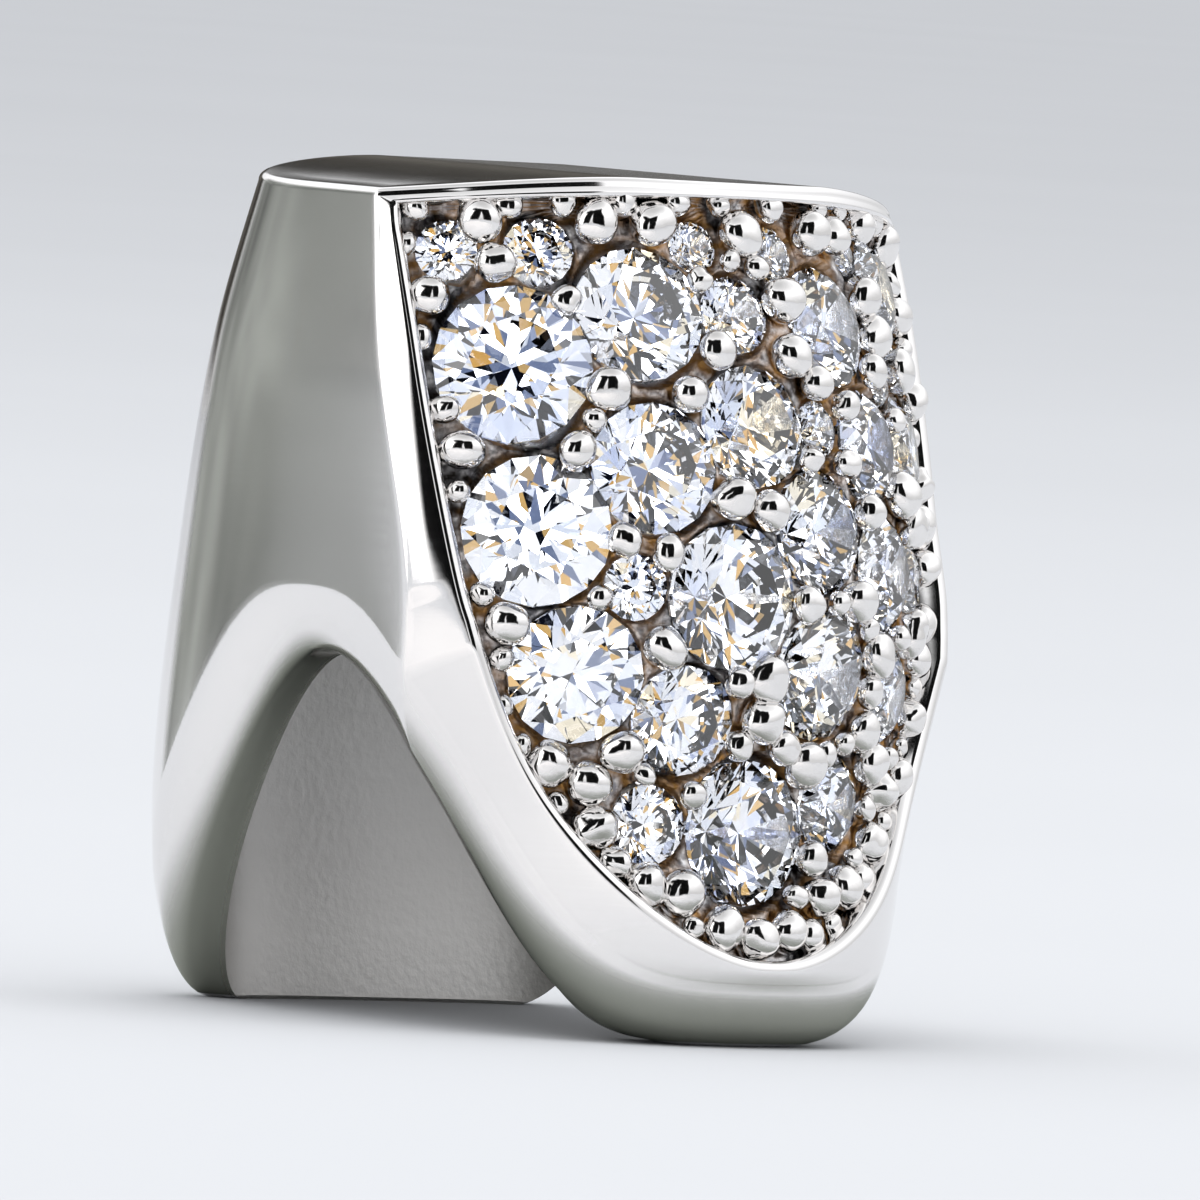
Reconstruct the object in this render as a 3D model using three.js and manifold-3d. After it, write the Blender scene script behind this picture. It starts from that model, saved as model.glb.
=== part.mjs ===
// Fang cap: a hollow cast cap for one lower canine tooth, its front paved with round stones.
// Millimetres, +Z up towards the biting edge, paved front towards -Y. The cap stands on its gum edge.
import * as THREE from "three";
import { mergeVertices } from "three/addons/utils/BufferGeometryUtils.js";
import loadKernel from "manifold-3d";

const kernel = await loadKernel();
kernel.setup();

// Crown wall
const HEIGHT = 9.6; // gum edge to top plate
const FACE_RADIUS = 4.8; // rounding of the front, seen from above
const BODY_SQUARENESS = 4; // plan of the sides and back: 2 is an ellipse, more is boxier
const CREASE_SHARPNESS = 45; // edge between the front and the sides: more is sharper
const FRONT_WALL = 1.45;
const SIDE_WALL = 0.65;
const TOP_WALL = 0.9;
const TOP_EDGE = 0.08; // chamfer around the top plate
const TOP_FLAT = 1.35; // half width of the plate's level middle
const TOP_FALL = 0.3; // how far the plate falls from there to its sides
const AROUND = 56; // facets round the crown

// Outer crown by height: half width, and reach to the front and to the back of the axis
const SECTIONS = [
  { z: 0.0, half: 3.7, front: 4.0, back: 3.65 },
  { z: 2.4, half: 3.85, front: 3.6, back: 3.85 },
  { z: 5.0, half: 3.95, front: 3.75, back: 3.5 },
  { z: 7.5, half: 4.0, front: 3.2, back: 2.95 },
  { z: 9.6, half: 3.8, front: 2.4, back: 2.3 },
];

// Gum edge: low at the front tip, arched at both sides, straight at the back
const ARCH_RISE = 4.1;
const TIP_POWER = 4.3; // how fast the edge rises from the front tip
const HEEL_SHARE = 0.58; // part of the back that stays straight and flat
const EDGE_ROUND = 0.7; // height of the rounded lip, square to the edge
const EDGE_SHARE = 0.5; // part of the wall thickness that the lip rounds off

// Sunken field of the front, laid out flat: distance round the face and height
const FIELD = { tip: 1, cornerZ: 4.65, corner: 3.82, top: 9.15, topHalf: 4.2, depth: 0.3 };

// Round brilliant cut, as shares of the stone's diameter
const CUT = { table: 0.56, crown: 0.15, girdle: 0.04, pavilion: 0.43, star: 0.76, lowerHalf: 0.24 };
const SEAT_GAP = 0.045; // room between a stone and the metal
const GIRDLE_SINK = 0.04; // girdle below the floor of the field
const STONE_SPACING = 0.1; // least distance between two girdles
const RIM_SPACING = 0.1; // least distance from a girdle to the rim

// Setting beads, raised from the floor
const BEAD_RADIUS = 0.24;
const BEAD_LIFT = 0.08; // bead centre above the floor
const BEAD_ROOM = 0.15; // least distance from a bead's centre to a girdle, the rim or another bead

// Stones: distance round the face from its middle, height, diameter
const STONES = [
  { around: -3.2, z: 7.6, size: 1.8 },
  { around: -3.25, z: 5.7, size: 1.7 },
  { around: -2.65, z: 4, size: 1.55 },
  { around: -1.65, z: 8.2, size: 1.55 },
  { around: -1.65, z: 6.4, size: 1.5 },
  { around: -0.25, z: 6.95, size: 1.4 },
  { around: -0.7, z: 5.1, size: 1.65 },
  { around: -1.25, z: 3.6, size: 1.25 },
  { around: -0.1, z: 2.4, size: 1.65 },
  { around: 0.7, z: 5.8, size: 1.4 },
  { around: 0.9, z: 4.15, size: 1.5 },
  { around: 1.4, z: 8.15, size: 1.4 },
  { around: 2.2, z: 6.85, size: 1.3 },
  { around: 1.4, z: 2.7, size: 1.15 },
  { around: -1.45, z: 2.45, size: 0.9 },
  { around: -0.2, z: 8.25, size: 0.9 },
  { around: -0.6, z: 8.95, size: 0.6 },
  { around: 0.65, z: 8.9, size: 0.65 },
  { around: 0.95, z: 7, size: 0.65 },
  { around: 2.35, z: 5.35, size: 1.35 },
  { around: 2.6, z: 3.9, size: 1.15 },
  { around: -2.55, z: 8.9, size: 0.8 },
  { around: -3.7, z: 8.9, size: 0.7 },
  { around: -2.1, z: 5.05, size: 0.75 },
  { around: 3.15, z: 8.4, size: 1.3 },
  { around: 3.5, z: 6.75, size: 1.3 },
  { around: 3.45, z: 5.2, size: 0.9 },
  { around: 4, z: 7.6, size: 0.6 },
  { around: 2.75, z: 7.55, size: 0.6 },
  { around: 2.3, z: 8.95, size: 0.55 },
];

const METAL = new THREE.MeshStandardMaterial({ color: 0xe4e2de, metalness: 1, roughness: 0.12 });
const CRYSTAL = new THREE.MeshStandardMaterial({ color: 0xf3f5fb, metalness: 0, roughness: 0.02 });

// Smooth value of one column of the sections at a height, by a cubic between the rows
function section(column, z) {
  const last = SECTIONS.length - 1;
  let i = 0;
  while (i < last - 1 && SECTIONS[i + 1].z < z) i += 1;
  const slope = (j) => {
    const below = SECTIONS[Math.max(j - 1, 0)];
    const above = SECTIONS[Math.min(j + 1, last)];
    return (above[column] - below[column]) / (above.z - below.z);
  };
  const [low, high] = [SECTIONS[i], SECTIONS[i + 1]];
  const step = high.z - low.z;
  const t = (z - low.z) / step;
  const rise = t * t * (3 - 2 * t);
  const bend = slope(i) * t * (1 - t) ** 2 - slope(i + 1) * t * t * (1 - t);
  return low[column] * (1 - rise) + high[column] * rise + step * bend;
}

// Distance from the axis to the wall in a direction: the nearer of the rounded front and the boxier body
function reach(angle, z, frontWall, sideWall) {
  const sine = Math.sin(angle);
  const cosine = Math.cos(angle);
  const centre = FACE_RADIUS - section("front", z);
  const radius = FACE_RADIUS - frontWall;
  const face = Math.sqrt(radius ** 2 - (centre * sine) ** 2) - centre * cosine;
  const half = section("half", z) - sideWall;
  const depth = cosine > 0 ? section("front", z) + 1.5 : section("back", z) - sideWall;
  const n = BODY_SQUARENESS;
  const body = (Math.abs(sine / half) ** n + Math.abs(cosine / depth) ** n) ** (-1 / n);
  const k = CREASE_SHARPNESS;
  return (face ** -k + body ** -k) ** (-1 / k);
}

// Point of the wall at an angle round the axis from the front: share 0 is the outside, 1 the inside
function wall(angle, z, share) {
  const outside = reach(angle, z, 0, 0);
  const inside = reach(angle, z, FRONT_WALL, SIDE_WALL);
  const r = outside + (inside - outside) * share;
  return new THREE.Vector3(r * Math.sin(angle), -r * Math.cos(angle), z);
}

// Height of the gum edge at an angle round the axis
function gumEdge(angle) {
  const side = Math.abs(Math.sin(angle));
  if (Math.cos(angle) > 0) return ARCH_RISE * side ** TIP_POWER;
  return ARCH_RISE * (Math.max(0, side - HEEL_SHARE) / (1 - HEEL_SHARE)) ** 2;
}

// Height of the rounded lip: taller where the gum edge is steep, so that it keeps its width
function lipHeight(angle) {
  const step = 0.02;
  const z = gumEdge(angle);
  const along = wall(angle + step, z, 0).distanceTo(wall(angle - step, z, 0));
  const slope = (gumEdge(angle + step) - gumEdge(angle - step)) / along;
  return EDGE_ROUND * Math.hypot(1, slope);
}

// Height of the top plate at a distance to the side
function plateHeight(x) {
  const side = Math.max(0, Math.abs(x) - TOP_FLAT) / (SECTIONS.at(-1).half - TOP_FLAT);
  return HEIGHT - TOP_FALL * side ** 1.6;
}

// Point of the front laid out flat, lifted square off its surface
function face(around, z, lift = 0) {
  const { point, normal } = faceFrame(around, z);
  return point.addScaledVector(normal, lift);
}

function faceFrame(around, z) {
  const turn = around / FACE_RADIUS;
  const lean = (section("front", z + 0.01) - section("front", z - 0.01)) / 0.02;
  const y = FACE_RADIUS * (1 - Math.cos(turn)) - section("front", z);
  const point = new THREE.Vector3(FACE_RADIUS * Math.sin(turn), y, z);
  const normal = new THREE.Vector3(Math.sin(turn), -Math.cos(turn), -lean * Math.cos(turn)).normalize();
  return { point, normal };
}

// Closed skin over a row of rings, from the pole above the first ring to the pole below the last
function loft(rings, top, bottom) {
  const count = rings[0].length;
  const points = [...rings.flat(), top, bottom];
  const index = [];
  const topIndex = points.length - 2;
  const bottomIndex = points.length - 1;
  const lastRing = (rings.length - 1) * count;
  for (let j = 0; j < count; j += 1) {
    const next = (j + 1) % count;
    index.push(topIndex, j, next, bottomIndex, lastRing + next, lastRing + j);
    for (let i = 0; i < rings.length - 1; i += 1) {
      const upper = i * count;
      const lower = upper + count;
      index.push(upper + j, lower + j, lower + next, upper + j, lower + next, upper + next);
    }
  }
  return new THREE.BufferGeometry().setFromPoints(points).setIndex(index);
}

// Turned shape about local Z from a profile of radii and heights, top to bottom
function turned(profile, sides, top, bottom) {
  const rings = profile.map(({ r, z }) =>
    Array.from({ length: sides }, (_, j) => {
      const angle = (2 * Math.PI * j) / sides;
      return new THREE.Vector3(r * Math.cos(angle), r * Math.sin(angle), z);
    }),
  );
  return loft(rings, new THREE.Vector3(0, 0, top), new THREE.Vector3(0, 0, bottom));
}

function solid(geometry) {
  const bare = new THREE.BufferGeometry().setAttribute("position", geometry.getAttribute("position"));
  const welded = mergeVertices(bare.setIndex(geometry.getIndex()), 1e-4);
  const vertProperties = new Float32Array(welded.getAttribute("position").array);
  const triVerts = new Uint32Array(welded.getIndex().array);
  return new kernel.Manifold(new kernel.Mesh({ numProp: 3, vertProperties, triVerts }));
}

function geometryOf(body) {
  const { vertProperties, triVerts } = body.getMesh();
  const geometry = new THREE.BufferGeometry();
  geometry.setAttribute("position", new THREE.BufferAttribute(vertProperties, 3));
  return geometry.setIndex(new THREE.BufferAttribute(triVerts, 1));
}

// Hollow crown: top plate, outside, rounded gum edge, inside and ceiling as one closed skin
function crown() {
  const angles = Array.from({ length: AROUND }, (_, j) => (2 * Math.PI * j) / AROUND);
  const ring = (height, share) => angles.map((angle) => wall(angle, height(angle), share));
  const ceiling = HEIGHT - TOP_WALL;
  const pole = new THREE.Vector3(0, -0.6, HEIGHT);
  const brow = (angle) => plateHeight(wall(angle, HEIGHT, 0).x);
  const plateEdge = ring(brow, TOP_EDGE / SIDE_WALL / 2);
  const plateRing = (share) =>
    plateEdge.map((p) => {
      const spot = pole.clone().lerp(p, share);
      return spot.setZ(plateHeight(spot.x));
    });
  const rings = [plateRing(0.35), plateRing(0.7), plateEdge];
  const outerSteps = 7;
  for (let i = 0; i <= outerSteps; i += 1) {
    const t = i / outerSteps;
    const low = (angle) => gumEdge(angle) + lipHeight(angle);
    rings.push(ring((angle) => (brow(angle) - TOP_EDGE) * (1 - t) + low(angle) * t, 0));
  }
  const lipSteps = 4;
  for (let i = 1; i <= lipSteps; i += 1) {
    const turn = (Math.PI / 2) * (i / lipSteps);
    const drop = 1 - Math.sin(turn);
    const share = EDGE_SHARE * (1 - Math.cos(turn));
    rings.push(ring((angle) => gumEdge(angle) + lipHeight(angle) * drop, share));
  }
  const innerSteps = 5;
  for (let i = 0; i <= innerSteps; i += 1) {
    const t = i / innerSteps;
    rings.push(ring((angle) => gumEdge(angle) * (1 - t) + ceiling * t, 1));
  }
  return loft(rings, pole, new THREE.Vector3(0, -0.3, ceiling));
}

// Shield outline of the sunken field, laid out flat, anticlockwise from its tip
function fieldOutline() {
  const { tip, corner, cornerZ, top, topHalf } = FIELD;
  const shape = new THREE.Path().moveTo(0, tip);
  shape.bezierCurveTo(1.65, tip, corner - 0.65, cornerZ - 1.8, corner, cornerZ);
  shape.bezierCurveTo(corner + 0.25, cornerZ + 0.5, topHalf + 0.15, top - 2.2, topHalf, top);
  shape.quadraticCurveTo(0, top + 0.56, -topHalf, top);
  shape.bezierCurveTo(-topHalf - 0.15, top - 2.2, -corner - 0.25, cornerZ + 0.5, -corner, cornerZ);
  shape.bezierCurveTo(-corner + 0.65, cornerZ - 1.8, -1.65, tip, 0, tip);
  return shape.getPoints(10).filter((p, i, all) => i === 0 || p.distanceTo(all[i - 1]) > 0.01).slice(0, -1);
}

// Cutter of the sunken field: its floor follows the face, its lid stands clear of it
function fieldCutter(outline) {
  const shares = [0.25, 0.5, 0.75, 1];
  const middle = new THREE.Vector2(0, 5.6);
  const ring = (share, lift) =>
    outline.map((p) => {
      const spot = middle.clone().lerp(p, share);
      return face(spot.x, spot.y, lift);
    });
  const lid = shares.map((share) => ring(share, 0.8));
  const floor = shares.map((share) => ring(share, -FIELD.depth)).reverse();
  return loft([...lid, ...floor], face(middle.x, middle.y, 0.8), face(middle.x, middle.y, -FIELD.depth));
}

// Distance from a spot of the laid-out face to the rim, negative outside the field, and the way inward
function rimDistance(spot, outline) {
  let nearest = { distance: Infinity, inward: new THREE.Vector2() };
  outline.forEach((a, i) => {
    const b = outline[(i + 1) % outline.length];
    const along = b.clone().sub(a);
    const t = THREE.MathUtils.clamp(spot.clone().sub(a).dot(along) / along.lengthSq(), 0, 1);
    const distance = spot.distanceTo(a.clone().addScaledVector(along, t));
    const inward = new THREE.Vector2(-along.y, along.x).normalize();
    const inside = Math.sign(spot.clone().sub(a).dot(inward)) || 1;
    if (distance < Math.abs(nearest.distance) - 1e-9) nearest = { distance: distance * inside, inward };
  });
  return nearest;
}

// Stones moved just as far as the least spacing between girdles and to the rim asks for
function settled(outline) {
  const stones = STONES.map(({ around, z, size }) => ({ spot: new THREE.Vector2(around, z), size }));
  for (let round = 0; round < 200; round += 1) {
    stones.forEach((stone, i) => {
      for (const other of stones.slice(i + 1)) {
        const apart = stone.spot.clone().sub(other.spot);
        const lack = (stone.size + other.size) / 2 + STONE_SPACING - apart.length();
        if (lack <= 0) continue;
        const share = other.size ** 2 / (stone.size ** 2 + other.size ** 2);
        stone.spot.addScaledVector(apart.normalize(), lack * share);
        other.spot.addScaledVector(apart, -lack * (1 - share));
      }
      const rim = rimDistance(stone.spot, outline);
      const lack = stone.size / 2 + RIM_SPACING - rim.distance;
      if (lack > 0) stone.spot.addScaledVector(rim.inward, lack);
    });
  }
  return stones;
}

// Bead spots: again and again the roomiest spot of the floor, until no gap is left for a bead
function beadSpots(stones, outline) {
  const step = 0.08;
  const grid = [];
  for (let x = -FIELD.topHalf - 0.3; x < FIELD.topHalf + 0.3; x += step) {
    for (let z = FIELD.tip; z < FIELD.top; z += step) {
      const spot = new THREE.Vector2(x, z);
      const girdles = stones.map((stone) => stone.spot.distanceTo(spot) - stone.size / 2);
      const room = Math.min(rimDistance(spot, outline).distance, ...girdles);
      if (room > BEAD_ROOM) grid.push({ spot, room });
    }
  }
  const beads = [];
  while (true) {
    const best = grid.reduce((a, b) => (b.room > a.room ? b : a));
    if (best.room < BEAD_ROOM) return beads;
    beads.push(best.spot);
    for (const cell of grid) {
      cell.room = Math.min(cell.room, cell.spot.distanceTo(best.spot) - 1.2 * BEAD_RADIUS);
    }
  }
}

// Round brilliant about local Z, its girdle at the origin: table, stars, kites, girdle, pavilion
function brilliant(size) {
  const r = size / 2;
  const rim = (CUT.girdle * size) / 2;
  const eighth = Math.PI / 4;
  const table = CUT.table * r;
  const star = CUT.star * r;
  const lower = CUT.lowerHalf * r;
  const kiteSlope = (CUT.crown * size) / (r - table);
  const starZ = rim + kiteSlope * (r - star * Math.cos(eighth / 2));
  const lowerZ = -rim - CUT.pavilion * size * (1 - (lower * Math.cos(eighth / 2)) / r);
  const ring = (count, radius, z, turn) =>
    Array.from({ length: count }, (_, j) => {
      const angle = (2 * Math.PI * (j + turn)) / count;
      return new THREE.Vector3(radius * Math.cos(angle), radius * Math.sin(angle), z);
    });
  const points = [
    ...ring(8, table, rim + CUT.crown * size, 0),
    ...ring(8, star, starZ, 0.5),
    ...ring(16, r, rim, 0),
    ...ring(16, r, -rim, 0),
    ...ring(8, lower, lowerZ, 0.5),
    new THREE.Vector3(0, 0, -rim - CUT.pavilion * size),
  ];
  const [stars, upper, under, halves, culet] = [8, 16, 32, 48, 56];
  const index = [];
  for (let k = 0; k < 8; k += 1) {
    const next = (k + 1) % 8;
    const before = (k + 7) % 8;
    const [a, b, c] = [2 * k, 2 * k + 1, (2 * k + 2) % 16];
    if (k > 0 && k < 7) index.push(0, k, k + 1);
    index.push(k, stars + k, next);
    index.push(k, stars + before, upper + a, k, upper + a, stars + k);
    index.push(stars + k, upper + a, upper + b, stars + k, upper + b, upper + c);
    for (const [p, q] of [[a, b], [b, c]]) {
      index.push(upper + p, under + p, under + q, upper + p, under + q, upper + q);
    }
    index.push(halves + k, under + b, under + a, halves + k, under + c, under + b);
    index.push(culet, halves + k, under + a, culet, under + a, halves + before);
  }
  return new THREE.BufferGeometry().setFromPoints(points).setIndex(index);
}

// Seat cutter about local Z: the stone's pavilion cone and girdle with room around them, open above
function seat(size) {
  const r = size / 2;
  const rim = (CUT.girdle * size) / 2;
  const depth = CUT.pavilion * size;
  const drop = SEAT_GAP * Math.hypot(1, depth / r);
  const shoulder = -rim - drop + (SEAT_GAP * depth) / r;
  const profile = [{ r: r + SEAT_GAP, z: 0.6 }, { r: r + SEAT_GAP, z: shoulder }];
  return turned(profile, 16, 0.6, -rim - depth - drop);
}

// Room that a bead leaves over a stone about local Z: its crown and girdle, larger by the gap
function crownRoom(size) {
  const r = size / 2;
  const rim = (CUT.girdle * size) / 2 + SEAT_GAP;
  const top = rim + CUT.crown * size;
  const profile = [
    { r: CUT.table * r + SEAT_GAP, z: top },
    { r: r + SEAT_GAP, z: rim },
    { r: r + SEAT_GAP, z: -rim },
  ];
  return turned(profile, 16, top, -rim - CUT.pavilion * size);
}

// Ball of a setting bead about local Z
function bead() {
  const profile = [45, -10].map((rise) => ({
    r: BEAD_RADIUS * Math.cos(THREE.MathUtils.degToRad(rise)),
    z: BEAD_RADIUS * Math.sin(THREE.MathUtils.degToRad(rise)),
  }));
  return turned(profile, 7, BEAD_RADIUS, -BEAD_RADIUS);
}

// Local Z along the face's normal at a spot, the origin lifted off the face
function placement(spot, lift) {
  const { point, normal } = faceFrame(spot.x, spot.y);
  const across = new THREE.Vector3(0, 0, 1).cross(normal).normalize();
  const up = normal.clone().cross(across);
  return new THREE.Matrix4().makeBasis(across, up, normal).setPosition(point.addScaledVector(normal, lift));
}

const outline = fieldOutline();
const stones = settled(outline);
const girdleLift = -FIELD.depth - GIRDLE_SINK;

const unite = (parts) => kernel.Manifold.union(parts.map((part) => solid(part)));
const perStone = (shape) =>
  stones.map(({ spot, size }) => shape(size).applyMatrix4(placement(spot, girdleLift)));
const seats = unite(perStone(seat));
const rooms = unite(perStone(crownRoom));
const balls = unite(
  beadSpots(stones, outline).map((spot) => bead().applyMatrix4(placement(spot, BEAD_LIFT - FIELD.depth))),
);
const plate = solid(crown()).subtract(solid(fieldCutter(outline))).subtract(seats);
// The slivers that two stones leave between them are not kept
const pieces = plate.add(balls.subtract(rooms)).simplify(0.006).decompose();
const shell = pieces.reduce((a, b) => (b.volume() > a.volume() ? b : a));

const cap = new THREE.Group();
cap.name = "fang_cap";
const shellMesh = new THREE.Mesh(geometryOf(shell), METAL);
shellMesh.name = "cap_shell";
cap.add(shellMesh);
perStone(brilliant).forEach((geometry, i) => {
  const stone = new THREE.Mesh(geometry, CRYSTAL);
  stone.name = `stone_${String(i + 1).padStart(2, "0")}`;
  cap.add(stone);
});

export default cap;
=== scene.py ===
import bpy
import numpy as np
from mathutils import Matrix


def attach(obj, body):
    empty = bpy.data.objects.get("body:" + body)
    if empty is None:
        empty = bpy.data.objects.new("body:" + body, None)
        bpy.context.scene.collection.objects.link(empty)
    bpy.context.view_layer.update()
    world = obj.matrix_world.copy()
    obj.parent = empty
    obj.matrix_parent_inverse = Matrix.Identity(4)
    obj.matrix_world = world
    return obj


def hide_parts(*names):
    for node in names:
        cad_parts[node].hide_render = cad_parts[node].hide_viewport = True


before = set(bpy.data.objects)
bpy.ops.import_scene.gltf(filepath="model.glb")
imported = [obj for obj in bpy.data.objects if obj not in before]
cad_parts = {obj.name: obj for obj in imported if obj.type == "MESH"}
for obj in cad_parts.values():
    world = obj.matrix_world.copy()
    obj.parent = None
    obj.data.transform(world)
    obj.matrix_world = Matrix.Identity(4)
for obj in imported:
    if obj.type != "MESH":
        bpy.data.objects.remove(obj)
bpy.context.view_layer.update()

# Cap body. One casting in white metal: the hollow crown wall, the gently arched top plate, the rounded gum
# edge and the rim around the sunken front. The outside is polished to a mirror after casting, and the
# hollow is left as it was cast. Sizes are in millimetres.
MM = 0.001
HEIGHT = 9.6
FACE_RADIUS = 4.8
FRONT_WALL = 1.45
SIDE_WALL = 0.65
TOP_WALL = 0.9
INNER_SOFTNESS = 25
CREASE_SHARPNESS = 420
BODY_SQUARENESS = 4
BODY_BEYOND_FRONT = 1.5
SECTION_Z = np.array([0.0, 2.4, 5.0, 7.5, 9.6])
SECTION = {
    "half": np.array([3.7, 3.85, 3.95, 4.0, 3.8]),
    "front": np.array([4.0, 3.6, 3.75, 3.2, 2.4]),
    "back": np.array([3.65, 3.85, 3.5, 2.95, 2.3]),
}


def smooth(t):
    """A share from 0 to 1 made level at both ends: three times its square less twice its cube."""
    return t * t * (3 - 2 * t)


def ramp(value, start, end):
    """Share of the way from start to end, held at 0 before it and at 1 past it."""
    return np.clip((value - start) / (end - start), 0, 1)


def section(column, z):
    """Half width, or reach to the front or back, at height z: cubics through the rows, and the slope at
    a row is the difference between its neighbours over their distance."""
    value = SECTION[column]
    last = len(SECTION_Z) - 1
    above = np.minimum(np.arange(last + 1) + 1, last)
    below = np.maximum(np.arange(last + 1) - 1, 0)
    slope = (value[above] - value[below]) / (SECTION_Z[above] - SECTION_Z[below])
    low = np.clip(np.searchsorted(SECTION_Z, z) - 1, 0, last - 1)
    step = SECTION_Z[low + 1] - SECTION_Z[low]
    t = (z - SECTION_Z[low]) / step
    rise = smooth(t)
    bend = slope[low] * t * (1 - t) ** 2 - slope[low + 1] * t * t * (1 - t)
    return value[low] * (1 - rise) + value[low + 1] * rise + step * bend


def fronts_and_body(angle, z, front_wall=0.0, side_wall=0.0):
    """Distance from the axis to the rounded front and to the boxier body, in a direction round the axis:
    a circle seen from a point off its centre, and an ellipse squared off by a fourth power."""
    sine, cosine = np.sin(angle), np.cos(angle)
    front = section("front", z)
    centre = FACE_RADIUS - front
    radius = FACE_RADIUS - front_wall
    circle = np.sqrt(radius**2 - (centre * sine) ** 2) - centre * cosine
    half = section("half", z) - side_wall
    depth = np.where(cosine > 0, front + BODY_BEYOND_FRONT, section("back", z) - side_wall)
    n = BODY_SQUARENESS
    box = (np.abs(sine / half) ** n + np.abs(cosine / depth) ** n) ** (-1 / n)
    return circle, box


def reach(angle, z, front_wall=0.0, side_wall=0.0, sharpness=CREASE_SHARPNESS):
    """The smaller of the two distances, with the edge between them rounded off by a high power."""
    circle, box = fronts_and_body(angle, z, front_wall, side_wall)
    near, far = np.minimum(circle, box), np.maximum(circle, box)
    return near * (1 + (near / far) ** sharpness) ** (-1 / sharpness)


def wall(angle, z, share):
    """Point of the wall at a direction and height: share 0 is the outside, 1 the inside."""
    outside = reach(angle, z)
    inside = reach(angle, z, FRONT_WALL, SIDE_WALL, INNER_SOFTNESS)
    r = outside + (inside - outside) * share
    return np.stack(np.broadcast_arrays(r * np.sin(angle), -r * np.cos(angle), z), axis=-1)


GUM_ARCH = 4.1
GUM_TIP_POWER = 4.3
HEEL_SHARE = 0.58
LIP_HEIGHT = 0.95


def gum_edge(angle):
    """Height of the gum edge, by how far a direction is to the side: a high power of it in front, low at
    the tip, and at the back straight until it passes the heel's share, then a square."""
    side = np.abs(np.sin(angle))
    heel = np.maximum(0, side - HEEL_SHARE) / (1 - HEEL_SHARE)
    return GUM_ARCH * np.where(np.cos(angle) > 0, side**GUM_TIP_POWER, heel**2)


def lip_height(angle):
    """Height of the rounded lip above the gum edge: taller where that edge is steep, as its slope says."""
    step = 0.02
    z = gum_edge(angle)
    along = np.linalg.norm(wall(angle + step, z, 0) - wall(angle - step, z, 0), axis=-1)
    slope = (gum_edge(angle + step) - gum_edge(angle - step)) / along
    return LIP_HEIGHT * np.hypot(1, slope)


TOP_ROUND = 0.1
TOP_FLAT = 1.35
TOP_FALL = 0.3
TOP_FALL_POWER = 1.6


def plate_height(x):
    """Height of the top plate: level in the middle, then falling by a power of the way to the side."""
    side = np.maximum(0, np.abs(x) - TOP_FLAT) / (SECTION["half"][-1] - TOP_FLAT)
    return HEIGHT - TOP_FALL * side**TOP_FALL_POWER


def quads(rows):
    """Four-sided faces between the neighbours of a grid of vertex numbers."""
    corners = rows[:-1, :-1], rows[1:, :-1], rows[1:, 1:], rows[:-1, 1:]
    return np.stack(corners, axis=-1).reshape(-1, 4)


def closed(rows):
    """A grid of vertex numbers with its first column repeated after the last."""
    return np.concatenate([rows, rows[:, :1]], axis=1)


def fan(pole, ring):
    """Triangles from a pole to a closed ring of vertex numbers."""
    return np.stack([np.full_like(ring, pole), ring, np.roll(ring, -1)], axis=-1)


def piece(name, points, faces, sharp_angle=None):
    """Object from points in millimetres and lists of faces, smooth but for the edges past a sharp angle in
    degrees. Vertices that no face uses are dropped."""
    used = np.unique(np.concatenate([f.ravel() for f in faces]))
    number = np.zeros(len(points), int)
    number[used] = np.arange(len(used))
    mesh = bpy.data.meshes.new(name)
    listed = [row for f in faces for row in number[f].tolist()]
    mesh.from_pydata((points[used] * MM).tolist(), [], listed)
    mesh.shade_smooth()
    if sharp_angle is not None:
        mesh.set_sharp_from_angle(angle=np.radians(sharp_angle))
    made = bpy.data.objects.new(name, mesh)
    bpy.context.scene.collection.objects.link(made)
    return made, used


def mark(made, name, values):
    """Lets a piece's mesh carry one value at each of its points, for its material."""
    made.data.attributes.new(name, "FLOAT", "POINT").data.foreach_set("value", values.ravel())


# The crease between front and body at each height, by halving a range of directions that holds it.
CREASE_RANGE = (0.6, 1.7)
CREASE_Z = np.linspace(0, HEIGHT, 300)
low, high = (np.full_like(CREASE_Z, end) for end in CREASE_RANGE)
for _ in range(50):
    middle = (low + high) / 2
    circle, box = fronts_and_body(middle, CREASE_Z)
    low = np.where(circle < box, middle, low)
    high = np.where(circle < box, high, middle)
CREASE_ANGLE = (low + high) / 2

# Columns of the crown: across the front, close together past the crease, round the back and past the other.
CREASE_STEPS = np.radians([-0.3, -0.2, -0.1, -0.03, 0.03, 0.1, 0.2, 0.35, 0.6, 1.0, 1.6])
FRONT_COLUMNS = 170
BACK_COLUMNS = 200
across = np.linspace(-1, 1, FRONT_COLUMNS)
behind = np.linspace(0, 1, BACK_COLUMNS + 2)[1:-1]
beside = np.ones(len(CREASE_STEPS) - 1)
COLUMN_SHARE = np.concatenate([across, beside, 1 - 2 * behind, -beside])
COLUMN_SHIFT = np.concatenate([
    across * CREASE_STEPS[0],
    CREASE_STEPS[1:],
    CREASE_STEPS[-1] + behind * (2 * np.pi - 2 * CREASE_STEPS[-1]),
    2 * np.pi - CREASE_STEPS[:0:-1],
])
columns = len(COLUMN_SHARE)


def column_angles(z):
    """Direction of every column of the crown at its height z: a share of the crease's direction there plus
    a shift, so that the columns keep their places between the creases as those wander."""
    return COLUMN_SHARE * np.interp(z, CREASE_Z, CREASE_ANGLE) + COLUMN_SHIFT


def lip_row(share):
    """Height of each column where the lip has a share of its height left. A column's direction depends on
    its height, so both are worked out in turn, from mid height, until they agree."""
    z = np.full(columns, SECTION_Z[2])
    for _ in range(60):
        angle = column_angles(z)
        z = 0.5 * z + 0.5 * (gum_edge(angle) + lip_height(angle) * share)
    return z


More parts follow.
